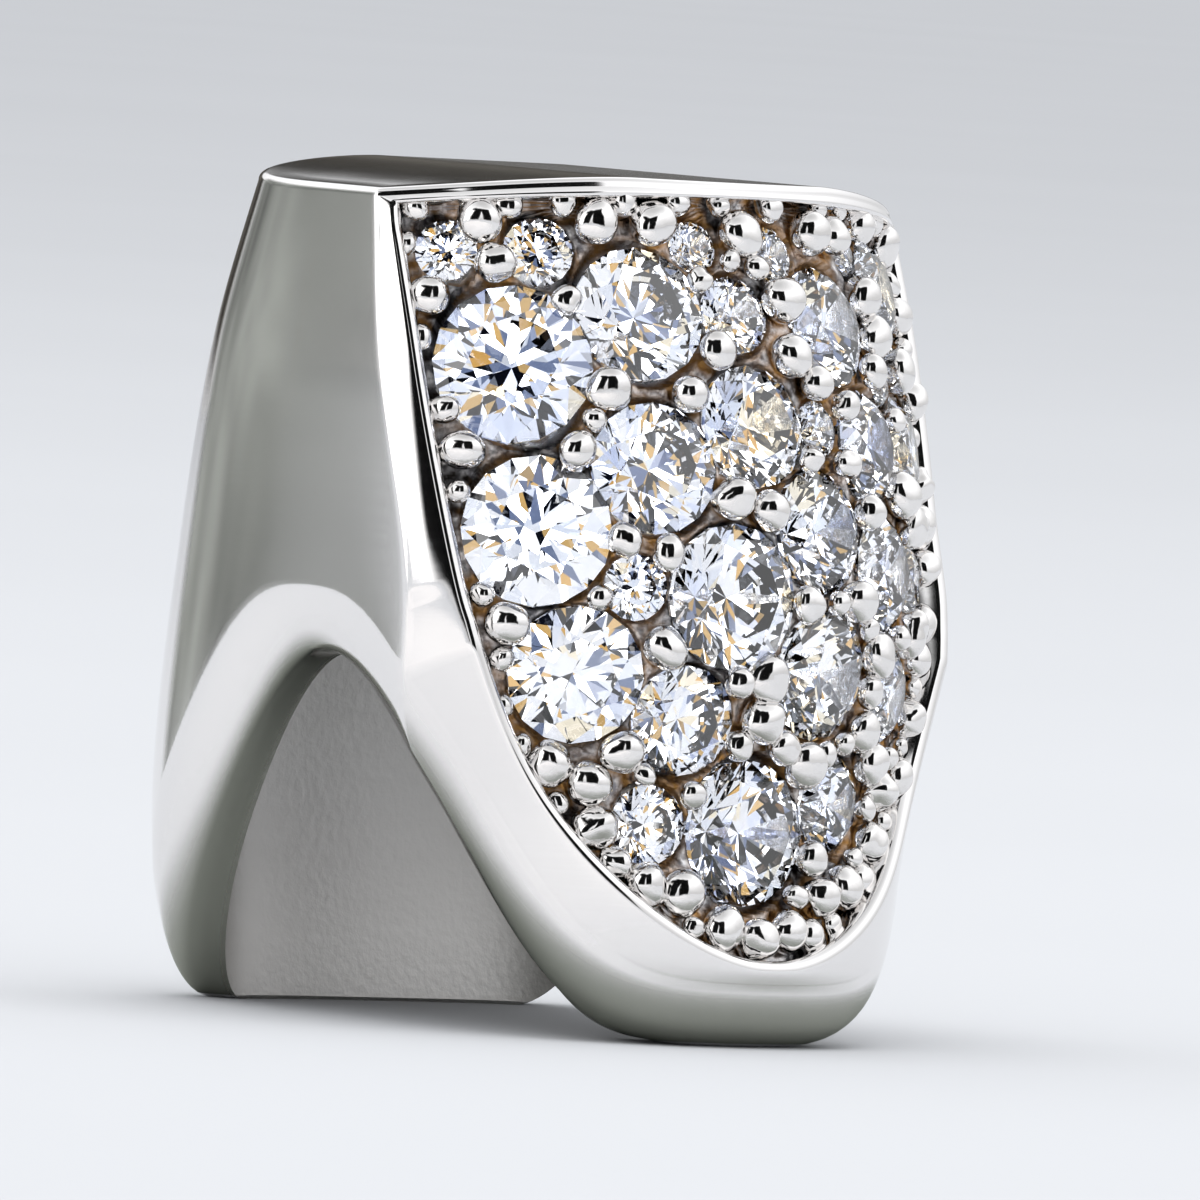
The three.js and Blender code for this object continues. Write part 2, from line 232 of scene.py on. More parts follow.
def lip_share(turn):
    """Share of the wall's thickness that the lip has come in by at a turn: half of one less its cosine."""
    return 0.5 * (1 - np.cos(turn))


# The top's rounded edge starts below the plate by its own radius. The plate's height depends on the place.
brow = np.full(columns, HEIGHT)
for _ in range(8):
    brow_angle = column_angles(brow)
    brow_reach = reach(brow_angle, brow)
    brow = plate_height((brow_reach - TOP_ROUND) * np.sin(brow_angle)) - TOP_ROUND


def inset_ring(inset, rise):
    """Ring of the top, drawn in from the outside by a distance and raised by another."""
    r = brow_reach - inset
    return np.stack([r * np.sin(brow_angle), -r * np.cos(brow_angle), brow + rise], axis=-1)


# Rows of the crown, from the middle of the top plate over its rounded edge, down the outside and round the
# lip, then up the hollow and over its ceiling. The numbers beside them say how much is left as cast.
INNERMOST_RING = 0.12
TOP_ROWS = 16
EDGE_ROWS = 7
OUTER_ROWS = 60
LIP_ROWS = 14
INNER_ROWS = 24
LIP_TILT = np.radians(14)
LIP_EASE = 8
GUM_FLAT_ROWS = (0.7, 0.9)
GUM_FLAT_CAST = 0.3
CEILING = HEIGHT - TOP_WALL
CEILING_ROUND = 0.25
CEILING_EASE = 12
top_pole = np.array([0, -0.6, HEIGHT])
ceiling_pole = np.array([0, -0.3, CEILING])
crown = []
plate_edge = inset_ring(TOP_ROUND, TOP_ROUND)
for share in np.linspace(INNERMOST_RING, 1, TOP_ROWS)[:-1]:
    ring = top_pole + (plate_edge - top_pole) * share
    ring[:, 2] = plate_height(ring[:, 0])
    crown.append(ring)
for turn in np.linspace(np.pi / 2, 0, EDGE_ROWS)[:-1]:
    crown.append(inset_ring(TOP_ROUND * (1 - np.cos(turn)), TOP_ROUND * np.sin(turn)))
first_outer = len(crown)
lip_start = lip_row(1 - np.sin(LIP_TILT))
for share in np.linspace(0, 1, OUTER_ROWS):
    z = brow * (1 - share) + lip_start * share
    crown.append(wall(column_angles(z), z, lip_share(LIP_TILT) * share**LIP_EASE))
last_outer = len(crown) - 1
for turn in np.linspace(LIP_TILT, np.pi / 2, LIP_ROWS)[1:]:
    z = lip_row(1 - np.sin(turn))
    crown.append(wall(column_angles(z), z, lip_share(turn)))
cast_rows = [0.0] * len(crown)
gum = lip_row(0.0)
gum_angle = column_angles(gum)
for share in GUM_FLAT_ROWS:
    crown.append(wall(gum_angle, gum, share))
    cast_rows.append(GUM_FLAT_CAST)
for share in np.linspace(0, 1, INNER_ROWS):
    z = gum * (1 - share) + CEILING * share
    crown.append(wall(gum_angle, z, 1 + CEILING_ROUND * share**CEILING_EASE))
    cast_rows.append(1.0)
for share in (0.75, 0.5, 0.25):
    crown.append(ceiling_pole + (crown[-1] - ceiling_pole) * share)
    cast_rows.append(1.0)

body_points = np.concatenate(crown + [top_pole[None], ceiling_pole[None]])
crown_number = np.arange(len(crown) * columns).reshape(len(crown), columns)
top_number, ceiling_number = crown_number.size, crown_number.size + 1
ring_rows = closed(crown_number)
outer_rows = ring_rows[first_outer:last_outer + 1]
body_faces = [
    fan(top_number, crown_number[0]),
    quads(ring_rows[:first_outer + 1]),
    quads(outer_rows[:, FRONT_COLUMNS - 1:]),
    quads(ring_rows[last_outer:]),
    fan(ceiling_number, crown_number[-1])[:, ::-1],
]


def face(around, z, lift=0.0):
    """Point of the rounded front laid out flat, by the distance round it and the height, lifted along its
    normal: a circle at each height, which leans as its reach to the front changes with the height."""
    step = 0.01
    turn = around / FACE_RADIUS
    lean = (section("front", z + step) - section("front", z - step)) / (2 * step)
    y = FACE_RADIUS * (1 - np.cos(turn)) - section("front", z)
    point = np.stack([FACE_RADIUS * np.sin(turn), y, z], axis=-1)
    normal = np.stack([np.sin(turn), -np.cos(turn), -lean * np.cos(turn)], axis=-1)
    normal /= np.linalg.norm(normal, axis=-1, keepdims=True)
    return point + normal * np.asarray(lift)[..., None]


def laid_flat(points):
    """Distance round the face and height of points that lie on it: the face's turn times its radius."""
    x, y, z = np.moveaxis(points, -1, 0)
    turn = np.arctan2(x, FACE_RADIUS - y - section("front", z))
    return np.stack([FACE_RADIUS * turn, z], axis=-1)


def bezier(controls, t):
    """Points of a curve by repeated mixing of its control points."""
    points = [np.asarray(p, float)[None] for p in controls]
    t = np.asarray(t)[:, None]
    while len(points) > 1:
        points = [a * (1 - t) + b * t for a, b in zip(points, points[1:])]
    return points[0]


FIELD_TIP = (0, 1)
FIELD_CORNER = (3.82, 4.65)
FIELD_SHOULDER = (4.2, 9.15)
FIELD_ARCH = (0, 9.71)


def field_outline(steps):
    """Shield outline of the sunken front, laid out flat, anticlockwise from its tip: a side that swings out
    to a soft corner, a steep flank, an arched top, and the same again mirrored."""
    t = np.arange(steps) / steps
    far_shoulder = (-FIELD_SHOULDER[0], FIELD_SHOULDER[1])
    side = bezier([FIELD_TIP, (1.65, 1), (3.17, 2.85), FIELD_CORNER], t)
    flank = bezier([FIELD_CORNER, (4.07, 5.15), (4.35, 6.95), FIELD_SHOULDER], t)
    half_top = bezier([FIELD_SHOULDER, FIELD_ARCH, far_shoulder], t)[: steps // 2 + 1]
    right = np.concatenate([side, flank, half_top])
    left = right[1:-1][::-1] * (-1, 1)
    return np.concatenate([right, left])


def bearing_from(middle, spots):
    """Direction of laid-out spots as seen from a middle."""
    around, up = (spots - middle).T
    return np.arctan2(up, around)


# Rim of the sunken front: a strip from the crown's front edges to the shield outline, rounded over there
# and carried down as the wall of the recess. Along the flanks it is a narrow bevel, flatter on the right.
FIELD_HEART = np.array([0, 6.3])
RIM_ROUND = 0.12
RIM_ROUND_SHARE = 0.4
RIM_CREST = 0.09
RIGHT_CREST_SHARE = 0.3
RIM_SLOPE = 0.22
RECESS = 0.42
FLANK_FROM, FLANK_FULL = 4.7, 6.1
FLANK_TOP, FLANK_TOP_FULL = 9.25, 8.85
LOW_FLANK_TOP, LOW_FLANK_FULL = 7.6, 5.4
BEVEL_POWER = 1.2
LOW_BEVEL_POWER = 0.8
RIM_ROUND_ROWS = 9
BEVEL_ROWS = 17
SHARP_EDGE = 50
front = outer_rows[:, :FRONT_COLUMNS]
rim_loop = np.concatenate([front[-1, :-1], front[::-1, -1][:-1], front[0, ::-1][:-1], front[:-1, 0]])
outer_edge = laid_flat(body_points[rim_loop])
outer_z = outer_edge[:, 1]
outline = field_outline(400)
bearing = bearing_from(FIELD_HEART, outline)
order = np.argsort(bearing)
outline_reach = np.linalg.norm(outline - FIELD_HEART, axis=1)
spoke = bearing_from(FIELD_HEART, outer_edge)
length = np.interp(spoke, bearing[order], outline_reach[order], period=2 * np.pi)
inner_edge = FIELD_HEART + length[:, None] * np.stack([np.cos(spoke), np.sin(spoke)], axis=-1)
for side in (-1, 1):
    shoulder = np.array(FIELD_SHOULDER) * (side, 1)
    inner_edge[np.argmin(np.linalg.norm(inner_edge - shoulder, axis=1))] = shoulder
width = np.linalg.norm(outer_edge - inner_edge, axis=1)
outward = (outer_edge - inner_edge) / width[:, None]
rounding = np.minimum(RIM_ROUND, RIM_ROUND_SHARE * width)
flank = smooth(ramp(outer_z, FLANK_FROM, FLANK_FULL) * ramp(outer_z, FLANK_TOP, FLANK_TOP_FULL))
low_flank = ramp(outer_z, LOW_FLANK_TOP, LOW_FLANK_FULL)
bevel = RIM_CREST * np.where(outer_edge[:, 0] < 0, 1, RIGHT_CREST_SHARE)
crest = flank * bevel + (1 - flank) * RIM_SLOPE * (width - rounding)
outer_lift = -lip_share(LIP_TILT) * FRONT_WALL * (outer_z < lip_start.max())
strip = []
for share in (1.0, 0.5):
    strip.append((np.zeros_like(width), crest - rounding - (RECESS + crest - rounding) * share))
for turn in np.linspace(0, np.pi / 2, RIM_ROUND_ROWS):
    strip.append((rounding * (1 - np.cos(turn)), crest - rounding * (1 - np.sin(turn))))
for share in np.linspace(0, 1, BEVEL_ROWS)[1:-1]:
    fall = share ** (BEVEL_POWER + LOW_BEVEL_POWER * flank * low_flank)
    strip.append((rounding + (width - rounding) * share, crest * (1 - fall) + outer_lift * fall))
strip_points = []
for distance, lift in strip:
    spot = inner_edge + outward * distance[:, None]
    strip_points.append(face(spot[:, 0], spot[:, 1], lift))
strip_number = len(body_points) + np.arange(len(strip) * len(width)).reshape(len(strip), -1)
body_points = np.concatenate([body_points, *strip_points])
body_faces.append(quads(closed(np.concatenate([strip_number, rim_loop[None]]))))
cap_body, used = piece("cap_body", body_points, body_faces, SHARP_EDGE)
in_hollow = np.concatenate([np.repeat(cast_rows, columns), [0, 1], np.zeros(strip_number.size)])
mark(cap_body, "as_cast", in_hollow[used])


class Signal:
    """A socket of a material's nodes. Sums and products of it with others add Math nodes."""

    def __init__(self, tree, socket=None):
        self.tree = tree
        self.socket = socket

    def add(self, kind, settings=None, inputs=None, out=0):
        """A node of a kind: its settings are made first, then its inputs by name or number."""
        node = self.tree.nodes.new(kind)
        for name, value in (settings or {}).items():
            if name == "stops":
                while len(node.color_ramp.elements) < len(value):
                    node.color_ramp.elements.new(1)
                for element, (place, colour) in zip(node.color_ramp.elements, value):
                    element.position = place
                    element.color = (*colour, 1)
            elif name == "interpolation":
                node.color_ramp.interpolation = value
            else:
                setattr(node, name, value)
        for name, value in (inputs or {}).items():
            if isinstance(value, Signal):
                self.tree.links.new(value.socket, node.inputs[name])
            else:
                node.inputs[name].default_value = value
        return Signal(self.tree, node.outputs[out] if len(node.outputs) else None)

    def math(self, operation, first, second):
        """A Math node on two values, of which one is this socket."""
        return self.add("ShaderNodeMath", {"operation": operation}, {0: first, 1: second})

    def __add__(self, other):
        return self.math("ADD", self, other)

    def __sub__(self, other):
        return self.math("SUBTRACT", self, other)

    def __rsub__(self, other):
        return self.math("SUBTRACT", other, self)

    def __mul__(self, other):
        return self.math("MULTIPLY", self, other)

    __radd__ = __add__
    __rmul__ = __mul__


def new_material(name):
    """An empty material and the start of its expressions."""
    material = bpy.data.materials.new(name)
    material.use_nodes = True
    material.node_tree.nodes.clear()
    return material, Signal(material.node_tree)


def finish_material(start, **sockets):
    """Principled shader with the given sockets, as the material's surface. An underscore in a name stands
    for a space."""
    inputs = {name.replace("_", " "): value for name, value in sockets.items()}
    shader = start.add("ShaderNodeBsdfPrincipled", None, inputs)
    start.add("ShaderNodeOutputMaterial", None, {"Surface": shader})


def mixed(share, first, second):
    """Colour between two colours."""
    return share.add("ShaderNodeMix", {"data_type": "RGBA"}, {0: share, 6: first, 7: second}, 2)


def marked(start, name):
    """The value that the piece's mesh carries under a name."""
    return start.add("ShaderNodeAttribute", {"attribute_name": name}, out=2)


def noise(place, scale, detail=2.0):
    """Cloudy value between 0 and 1, with about so many clouds to the metre."""
    return place.add("ShaderNodeTexNoise", None, {"Vector": place, "Scale": scale, "Detail": detail})


def bumped(height, strength, distance):
    """Normal of the surface as if it rose and sank with a height, by up to a distance in metres."""
    return height.add("ShaderNodeBump", None, {"Strength": strength, "Distance": distance, "Height": height})


polished, start = new_material("polished_white_metal")
place = start.add("ShaderNodeTexCoord", out=3)
as_cast = marked(start, "as_cast")
wave = noise(place, 420.0, detail=1.0)
drawn = start.add("ShaderNodeMapping", None, {"Vector": place, "Scale": (900.0, 900.0, 14000.0)})
hairline = noise(drawn, 1.0, detail=3.0)
grain = noise(place, 9000.0, detail=3.0)
height = wave * 0.35 + hairline * 0.012 + grain * as_cast * 0.5
finish_material(
    start,
    Base_Color=mixed(as_cast, (0.86, 0.845, 0.835, 1), (0.62, 0.605, 0.59, 1)),
    Metallic=1.0,
    Roughness=0.045 + hairline * 0.05 + as_cast * 0.38,
    Normal=bumped(height, strength=0.35, distance=0.00004),
)
cap_body.data.materials.append(polished)
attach(cap_body, "root")
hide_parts("cap_shell")

# Bed of the stones. The floor of the sunken front, the same metal as the body: drilled with a cone-shaped
# seat for each stone and roughed up by the graver that raised the beads. Its colour carries painted shade,
# near-black to brownish, along the stones' girdles and the beads' feet.
FIELD_DEPTH = 0.3
GIRDLE_LIFT = -0.34
SEAT_GAP = 0.045
SEAT_STEP = 0.13
SEAT_STEP_SHARE = 0.02
CONE_DEPTH = 0.06
CONE_DEPTH_SHARE = 0.43
stone_names = sorted(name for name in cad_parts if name.startswith("stone_"))


def stone_chart(node):
    """Spot of a stone on the laid-out front, and its diameter: the spot is moved until the point below it,
    at the girdle's depth, lies on the middle of the stone's corners."""
    flat = np.empty(len(node.data.vertices) * 3)
    node.data.vertices.foreach_get("co", flat)
    corners = np.unique(np.round(flat.reshape(-1, 3) / MM, 4), axis=0)
    apart = np.linalg.norm(corners[:, None] - corners[None], axis=-1)
    target = laid_flat(corners.mean(axis=0))
    spot = target
    for _ in range(12):
        spot = spot + (target - laid_flat(face(spot[0], spot[1], GIRDLE_LIFT)))
    return [spot[0], spot[1], apart.max()]


stone_charts = np.array([stone_chart(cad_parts[name]) for name in stone_names])
stone_spots, stone_size = stone_charts[:, :2], stone_charts[:, 2]


def distances(spots, others):
    """Distance on the laid-out front from each spot to each of the others."""
    return np.hypot(spots[..., 0, None] - others[:, 0], spots[..., 1, None] - others[:, 1])


def scattered(spots, step, seed):
    """Even grain over the laid-out front: random values on a lattice, mixed smoothly between its points."""
    cells = 400
    before_field = 20
    values = np.random.default_rng(seed).uniform(-1, 1, (cells, cells))
    cell = (spots + before_field) / step
    low = np.floor(cell).astype(int) % (cells - 1)
    t = smooth(cell - np.floor(cell))
    i, j = low[..., 0], low[..., 1]
    left = values[i, j] * (1 - t[..., 1]) + values[i, j + 1] * t[..., 1]
    right = values[i + 1, j] * (1 - t[..., 1]) + values[i + 1, j + 1] * t[..., 1]
    return left * (1 - t[..., 0]) + right * t[..., 0]


# The bed's edge runs a little under the rim: up the right half, from the tip to the middle of the arch.
BED_TUCK = 1.012
climb = FIELD_HEART + (outline[: len(outline) // 2 + 1] - FIELD_HEART) * BED_TUCK

# Places of the beads: the roomiest spot of a fine lattice is taken, again and again, until no gap is left.
# On the right, below the shoulder, they crowd in on the rim.
BEAD_ROOM = 0.1
BEAD_SPACING = 0.27
LATTICE_STEP = 0.06
LATTICE_HALF = 4.5
RIM_CROWDING = 0.15
CROWDED_FROM = 2
CROWDED_BELOW = 8.4
lattice = np.stack(np.meshgrid(
    np.arange(-LATTICE_HALF, LATTICE_HALF, LATTICE_STEP),
    np.arange(FIELD_TIP[1], outline[:, 1].max(), LATTICE_STEP),
), axis=-1).reshape(-1, 2)
lattice = lattice[np.abs(lattice[:, 0]) < np.interp(lattice[:, 1], climb[:, 1], climb[:, 0])]
to_stones = distances(lattice, stone_spots) - stone_size / 2
to_rim = np.linalg.norm(lattice[:, None] - field_outline(24)[None], axis=-1)
crowded = (lattice[:, 0] > CROWDED_FROM) & (lattice[:, 1] < CROWDED_BELOW)
room = np.minimum(to_stones.min(axis=1), to_rim.min(axis=1) + RIM_CROWDING * crowded)
bead_spots = []
bead_rooms = []
while room.max() > BEAD_ROOM:
    best = int(np.argmax(room))
    bead_spots.append(lattice[best])
    bead_rooms.append(room[best])
    room = np.minimum(room, np.linalg.norm(lattice - lattice[best], axis=1) - BEAD_SPACING)
bead_spots, bead_rooms = np.array(bead_spots), np.array(bead_rooms)

BED_ROWS = 230
BED_COLUMNS = 240
USUAL_BEAD = 0.2
CREVICE_WIDTH = 0.11
CREVICE_FULL = 1.25
SEAT_EDGE = 0.1
bed_z = np.linspace(climb[0, 1], climb[-1, 1], BED_ROWS)
bed_half = np.interp(bed_z, climb[:, 1], climb[:, 0])
bed_around = bed_half[:, None] * np.linspace(-1, 1, BED_COLUMNS)[None]
spots = np.stack(np.broadcast_arrays(bed_around, bed_z[:, None]), axis=-1)
from_stone = distances(spots, stone_spots)
inside = np.clip(1 - from_stone / (stone_size / 2 + SEAT_GAP), 0, 1)
cone = SEAT_STEP + SEAT_STEP_SHARE * stone_size + inside * (CONE_DEPTH + CONE_DEPTH_SHARE * stone_size)
seat = np.where(inside > 0, cone, 0)
rough = 0.02 * scattered(spots, step=0.09, seed=3) + 0.015 * scattered(spots, step=0.05, seed=4)
bed_lift = -FIELD_DEPTH + rough - seat.max(axis=-1)
bed_points = face(spots[..., 0], spots[..., 1], bed_lift).reshape(-1, 3)
bed_number = np.arange(len(bed_points)).reshape(BED_ROWS, BED_COLUMNS)
pave_bed, used = piece("pave_bed", bed_points, [quads(bed_number)[:, ::-1]])
# Nearness to a stone's girdle or a bead's foot: the mask for the painted shade there.
girdle_room = np.min(from_stone - stone_size / 2, axis=-1)
bead_room = distances(spots, bead_spots).min(axis=-1) - USUAL_BEAD
edge_room = np.minimum(np.abs(girdle_room), np.abs(bead_room))
mark(pave_bed, "crevice", np.clip(CREVICE_FULL - edge_room / CREVICE_WIDTH, 0, 1).ravel()[used])
mark(pave_bed, "in_seat", ramp(girdle_room, 0, -SEAT_EDGE).ravel()[used])


def ramped(value, start, end, low=0.0, high=1.0):
    """A value carried from the range between start and end over to that between low and high, and held at
    both ends of it."""
    return value.add("ShaderNodeMapRange", None, {0: value, 1: start, 2: end, 3: low, 4: high})


stippled, start = new_material("stippled_bed_metal")
place = start.add("ShaderNodeTexCoord", out=3)
in_seat = marked(start, "in_seat")
grain = noise(place, 14000.0)
# Painted shade along the girdles and bead feet, patchy, from near-black to brownish.
crevice_shade = marked(start, "crevice") * ramped(noise(place, 1900.0), 0.22, 0.46)
fleck = ramped(noise(place, 11000.0, detail=3.0), 0.4, 0.62)
stipple = mixed(fleck, (0.28, 0.28, 0.3, 1), (1.0, 0.99, 1.0, 1))
brownish_share = ramped(noise(place, 1300.0, detail=1.0), 0.36, 0.54)
shade_colour = mixed(brownish_share, (0.015, 0.011, 0.009, 1), (0.42, 0.22, 0.07, 1))
finish_material(
    start,
    Base_Color=mixed(in_seat, mixed(crevice_shade, stipple, shade_colour), (0.95, 0.95, 0.96, 1)),
    Metallic=1.0,
    Roughness=0.3 + grain * 0.25 - in_seat * 0.25,
    Normal=bumped(grain, strength=0.6, distance=0.00003),
)
pave_bed.data.materials.append(stippled)
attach(pave_bed, "root")

# Setting beads. Small balls raised out of the bed between the stones and burnished round; each one leans
# over the edges of the stones around it and holds them down. Handwork leaves them a little uneven.
BEAD_LIFT = -0.17
BEAD_SQUASH = 0.85
BEAD_GROWTH = 1.2
SMALLEST_BEAD = 0.14
LARGEST_BEAD = 0.26
BEAD_UNEVEN = 0.07
LUMP_WAVES = 4
LUMP_TIGHTNESS = 1.7
LUMP_HEIGHT = 0.05
LUMP_PHASES = 6.3
BEAD_RINGS = 17
BEAD_SIDES = 30
rng = np.random.default_rng(11)
bead_radii = np.clip(bead_rooms * BEAD_GROWTH, SMALLEST_BEAD, LARGEST_BEAD)
beads = len(bead_radii)
polar = np.linspace(0, np.pi, BEAD_RINGS + 2)[1:-1, None]
turn = np.linspace(0, 2 * np.pi, BEAD_SIDES, endpoint=False)
ball = np.stack(np.broadcast_arrays(
    np.sin(polar) * np.cos(turn), np.sin(polar) * np.sin(turn), np.cos(polar)), axis=-1)
ball = np.concatenate([[[0, 0, 1]], ball.reshape(-1, 3), [[0, 0, -1]]])
origin = face(bead_spots[:, 0], bead_spots[:, 1])
normal = face(bead_spots[:, 0], bead_spots[:, 1], 1.0) - origin
across = np.cross([0, 0, 1], normal)
across /= np.linalg.norm(across, axis=1, keepdims=True)
upward = np.cross(normal, across)
uneven = rng.uniform(1 - BEAD_UNEVEN, 1 + BEAD_UNEVEN, (beads, 3))
stretch = bead_radii[:, None] * uneven * (1, 1, BEAD_SQUASH)
waves = np.einsum("pk,bwk->bpw", ball, rng.normal(0, LUMP_TIGHTNESS, (beads, LUMP_WAVES, 3)))
phases = rng.uniform(0, LUMP_PHASES, (beads, 1, LUMP_WAVES))
lumps = 1 + LUMP_HEIGHT * np.sin(waves + phases).sum(axis=-1)
local = ball[None] * stretch[:, None] * lumps[..., None]
bead_points = (
    (origin + normal * BEAD_LIFT)[:, None]
    + local[..., :1] * across[:, None]
    + local[..., 1:2] * upward[:, None]
    + local[..., 2:] * normal[:, None]
)
per_bead = len(ball)
one = 1 + np.arange(BEAD_RINGS * BEAD_SIDES).reshape(BEAD_RINGS, BEAD_SIDES)
first = np.arange(beads)[:, None, None] * per_bead
bead_faces = [
    (first + quads(closed(one))[None]).reshape(-1, 4),
    (first + fan(0, one[0])[None]).reshape(-1, 3),
    (first + fan(per_bead - 1, one[-1])[None, :, ::-1]).reshape(-1, 3),
]
setting_beads, used = piece("setting_beads", bead_points.reshape(-1, 3), bead_faces)

burnished, start = new_material("burnished_bead_metal")
dent = noise(start.add("ShaderNodeTexCoord", out=3), 5200.0)
finish_material(
    start,
    Base_Color=mixed(dent, (0.8, 0.78, 0.76, 1), (0.9, 0.885, 0.875, 1)),
    Metallic=1.0,
    Roughness=0.03 + dent * 0.08,
    Normal=bumped(dent, strength=0.4, distance=0.00002),
)
setting_beads.data.materials.append(burnished)
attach(setting_beads, "root")

# Stones. Clear round brilliants from 0.55 to 1.8 mm across, each a cut crystal with its own table and
# facets, set down in its seat and held by the beads. By the way it faces, each facet gets a tint of its
# own, painted fire and painted dark reflections: mostly white or pale blue, a few slate blue, amber or dark.
TINT_STEP = 0.04
crystal, start = new_material("clear_crystal")
facing = start.add("ShaderNodeNewGeometry", out=3)
stepped = start.add("ShaderNodeVectorMath", {"operation": "SNAP"}, {0: facing, 1: (TINT_STEP,) * 3})
chance = start.add("ShaderNodeTexWhiteNoise", {"noise_dimensions": "3D"}, {"Vector": stepped})
# Painted fire and painted dark reflections in the clear stones, one tint for each facet.
painted_fire_tint = start.add(
    "ShaderNodeValToRGB",
    {
        "interpolation": "CONSTANT",
        "stops": [
            (0.0, (1.0, 1.0, 1.0)),
            (0.56, (0.86, 0.91, 1.0)),
            (0.84, (0.66, 0.73, 0.93)),
            (0.91, (1.0, 0.8, 0.46)),
            (0.96, (0.3, 0.34, 0.5)),
        ],
    },
    {"Fac": chance},
)
finish_material(start, Base_Color=painted_fire_tint, Roughness=0.0, IOR=2.2, Transmission_Weight=1.0)
for name in stone_names:
    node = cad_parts[name]
    node.data.materials.clear()
    node.data.materials.append(crystal)

# Floor, light and camera. A pale sheet lies under the cap, in a white tent that is brightest halfway up. Two
# dark cards with a slit between them draw the black lines in the polished metal, and softer cards around it
# and on the floor give it middle tones. Sizes and places are in metres, and azimuth 0 is the front.
CAP_MIDDLE = (0, 0, 0.005)
SOFT_STEPS = 41


def bearing_axes(azimuth, elevation):
    """Unit vectors towards a bearing in degrees, to its right, and upwards: minus is to the left."""
    a, e = np.radians([azimuth, elevation])
    out = np.array([np.sin(a) * np.cos(e), -np.cos(a) * np.cos(e), np.sin(e)])
    right = np.array([np.cos(a), np.sin(a), 0.0])
    return out, right, np.cross(out, right)


def seen_by(thing, only):
    """Hides a card or lamp from every kind of light path but one."""
    for kind in ("camera", "diffuse", "glossy", "transmission", "shadow"):
        setattr(thing, "visible_" + kind, kind == only)


def card(name, middle, right, up, colour, shade=0.97, grain=30.0, glow=0.0, soft=0.0, disc=False):
    """Flat sheet around a middle, spanned by its half width and half height, its paint a little cloudy.
    Over the soft share of its half size it thins out to nothing at the edge, square or round."""
    steps = SOFT_STEPS if soft else 2
    u, v = np.meshgrid(np.linspace(-1, 1, steps), np.linspace(-1, 1, steps))
    corners = np.asarray(middle) + u[..., None] * np.asarray(right) + v[..., None] * np.asarray(up)
    numbers = np.arange(steps**2).reshape(steps, steps)
    sheet, _ = piece(name, corners.reshape(-1, 3) / MM, [quads(numbers)[:, ::-1]])
    material, start = new_material(name + "_paint")
    cloud = ramped(noise(start.add("ShaderNodeTexCoord", out=3), grain), 0.3, 0.7)
    paint = mixed(cloud, (*[c * shade for c in colour], 1), (*colour, 1))
    sockets = {"Base_Color": paint, "Roughness": 0.7, "Specular_IOR_Level": 0.0}
    if glow:
        sockets.update(Emission_Color=paint, Emission_Strength=glow)
    if soft:
        inward = 1 - (np.hypot(u, v) if disc else np.maximum(np.abs(u), np.abs(v)))
        mark(sheet, "cover", smooth(np.clip(inward / soft, 0, 1)))
        sockets["Alpha"] = marked(start, "cover")
    finish_material(start, **sockets)
    sheet.data.materials.append(material)
    return sheet


def standing_card(name, azimuth, elevation, distance, half_width, half_height, colour, **paint):
    """Card at a bearing that faces the cap, for the polished metal alone."""
    out, right, up = bearing_axes(azimuth, elevation)
    sheet = card(name, out * distance, right * half_width, up * half_height, colour, **paint)
    seen_by(sheet, "glossy")
    return sheet


def floor_card(name, azimuth, distance, radius, height, colour):
    """Round sheet just above the floor that thins out to its edge, for the polished metal alone."""
    out, _, _ = bearing_axes(azimuth, 0)
    middle = out * distance + (0, 0, height)
    sheet = card(name, middle, (radius, 0, 0), (0, radius, 0), colour, soft=0.6, disc=True)
    seen_by(sheet, "glossy")


def placed(thing, azimuth, elevation, distance, target, roll=0.0):
    """A camera or lamp at a bearing and distance from a target, looking at it."""
    out, right, up = bearing_axes(azimuth, elevation)
    c, s = np.cos(np.radians(roll)), np.sin(np.radians(roll))
    matrix = np.eye(4)
    matrix[:3, 0] = right * c + up * s
    matrix[:3, 1] = up * c - right * s
    matrix[:3, 2] = out
    matrix[:3, 3] = np.asarray(target) + out * distance
    made = bpy.data.objects.new(thing.name, thing)
    made.matrix_world = Matrix(matrix.tolist())
    bpy.context.scene.collection.objects.link(made)
    return made


def panel(name, azimuth, elevation, distance, width, height, brightness):
    """Soft light panel that looks at the cap, evenly bright over its whole sheet."""
    lamp = bpy.data.lights.new(name, "AREA")
    lamp.shape = "RECTANGLE"
    lamp.size = width
    lamp.size_y = height
    lamp.energy = brightness * np.pi * width * height
    return placed(lamp, azimuth, elevation, distance, CAP_MIDDLE)


card("floor", middle=(0, 0, 0), right=(2, 0, 0), up=(0, 2, 0), colour=(0.55, 0.56, 0.578), shade=0.985)
for side, azimuth, half_width in (("left", -68, 0.143), ("right", -20, 0.122)):
    standing_card(
        side + "_dark_card",
        azimuth,
        elevation=29,
        distance=0.36,
        half_width=half_width,
        half_height=0.19,
        colour=(0.004, 0.004, 0.004),
        soft=0.14,
    )
standing_card(
    "side_card",
    azimuth=-152,
    elevation=20,
    distance=0.03,
    half_width=0.016,
    half_height=0.016,
    colour=(0.5, 0.515, 0.47),
    shade=0.25,
    grain=110.0,
    soft=0.5,
)
standing_card(
    "back_card",
    azimuth=155,
    elevation=8,
    distance=1.3,
    half_width=0.6,
    half_height=0.2,
    colour=(0.2, 0.185, 0.16),
    shade=0.1,
    grain=5.0,
    soft=0.35,
)
standing_card(
    "left_light",
    azimuth=-104,
    elevation=20,
    distance=0.3,
    half_width=0.13,
    half_height=0.17,
    colour=(1.0, 0.99, 0.98),
    glow=1.2,
    soft=0.45,
)
